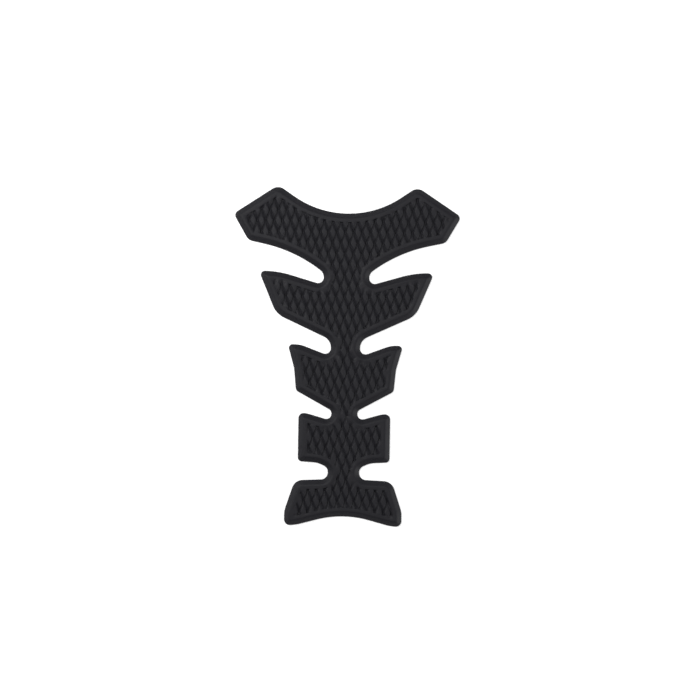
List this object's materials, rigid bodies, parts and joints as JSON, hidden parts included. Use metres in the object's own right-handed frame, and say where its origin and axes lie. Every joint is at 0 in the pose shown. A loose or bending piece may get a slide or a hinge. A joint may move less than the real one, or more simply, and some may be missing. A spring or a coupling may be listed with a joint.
{
  "type": "motorcycle tank pad",
  "caption": "Spine-shaped rubber tank pad with stepped wings, a bevelled edge, a smooth rim and a field of raised upright diamonds on a flat back.",
  "frame": {"origin": "on the flat back, at the middle of the length and width", "axes": "+X across the pad, +Y along it towards the horned front end, +Z out of the grip face"},
  "size_m": [0.1418, 0.2134, 0.0032],
  "materials": {
    "rubber": "matt black moulded rubber"
  },
  "bodies": {
    "root": {"tank_pad": "rubber"}
  },
  "joints": []
}
